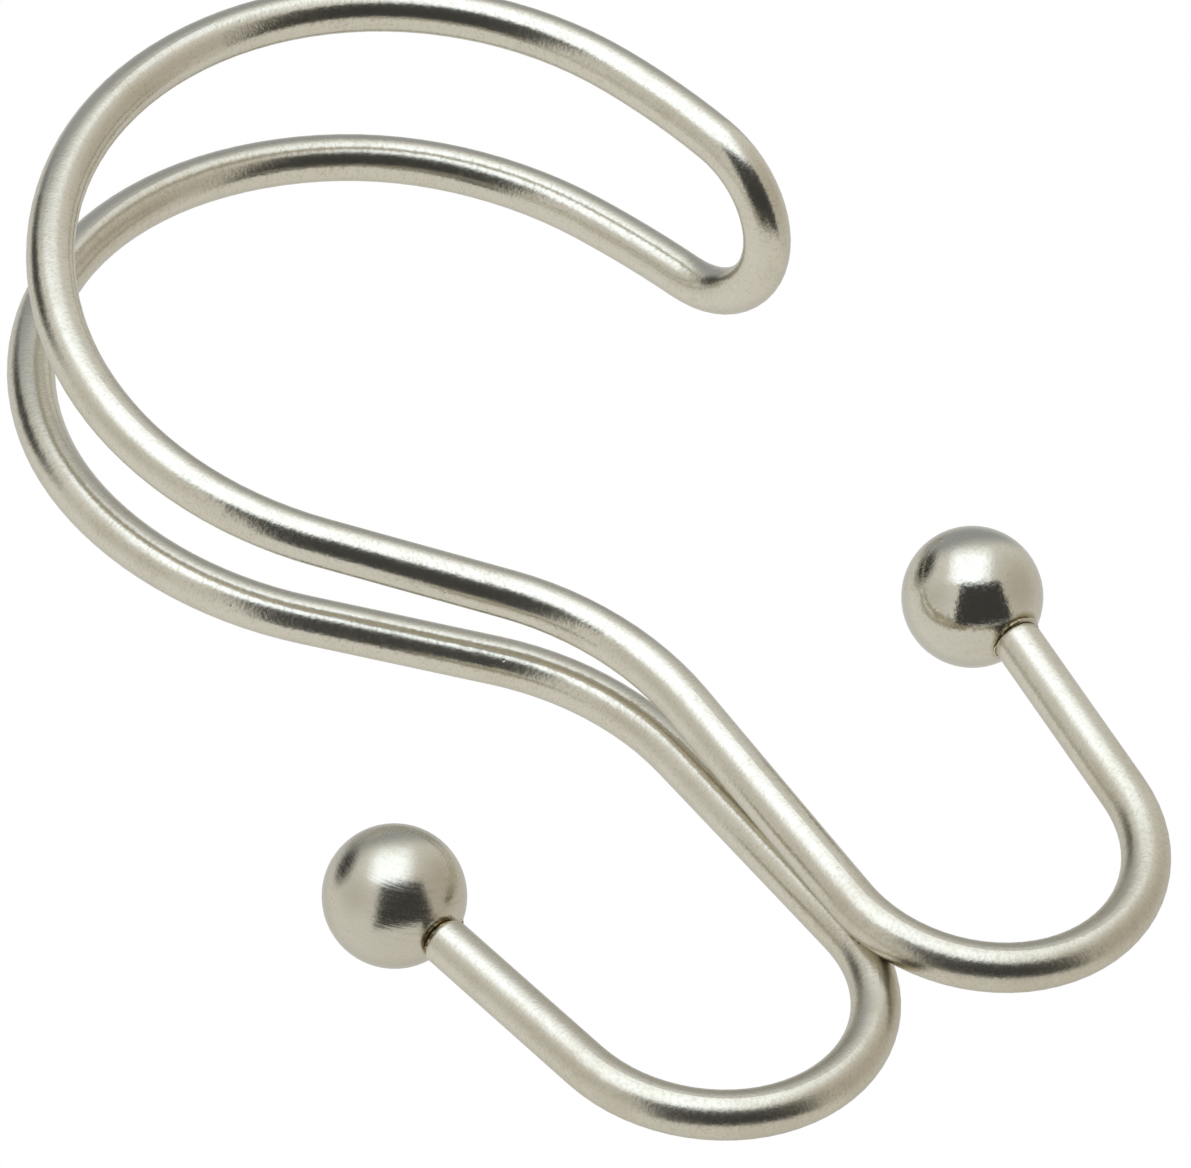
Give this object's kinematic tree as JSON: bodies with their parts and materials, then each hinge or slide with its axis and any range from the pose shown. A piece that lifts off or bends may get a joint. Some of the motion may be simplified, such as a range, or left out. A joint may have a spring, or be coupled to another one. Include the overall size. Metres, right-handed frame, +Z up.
{
  "type": "shower curtain hook",
  "caption": "Double shower curtain hook: hairpin of round wire with an open rod bend, a front hook and a rear hook, each ending in a ball.",
  "frame": {"origin": "centre of the main rod bend, midway between the two legs; the part is shown as it hangs", "axes": "+Z up, with the shank straight down; Y along the curtain rod; +X to the front, where the rod bend opens and the front hook turns up. The leg with the front hook is on the -Y side"},
  "size_m": [0.0526, 0.015, 0.0825],
  "materials": {
    "wire_metal": "satin nickel plate on drawn steel wire",
    "ball_metal": "satin nickel plate with fine turned lines"
  },
  "bodies": {
    "root": {"hook_wire": "wire_metal", "front_ball": "ball_metal", "rear_ball": "ball_metal"}
  },
  "joints": []
}
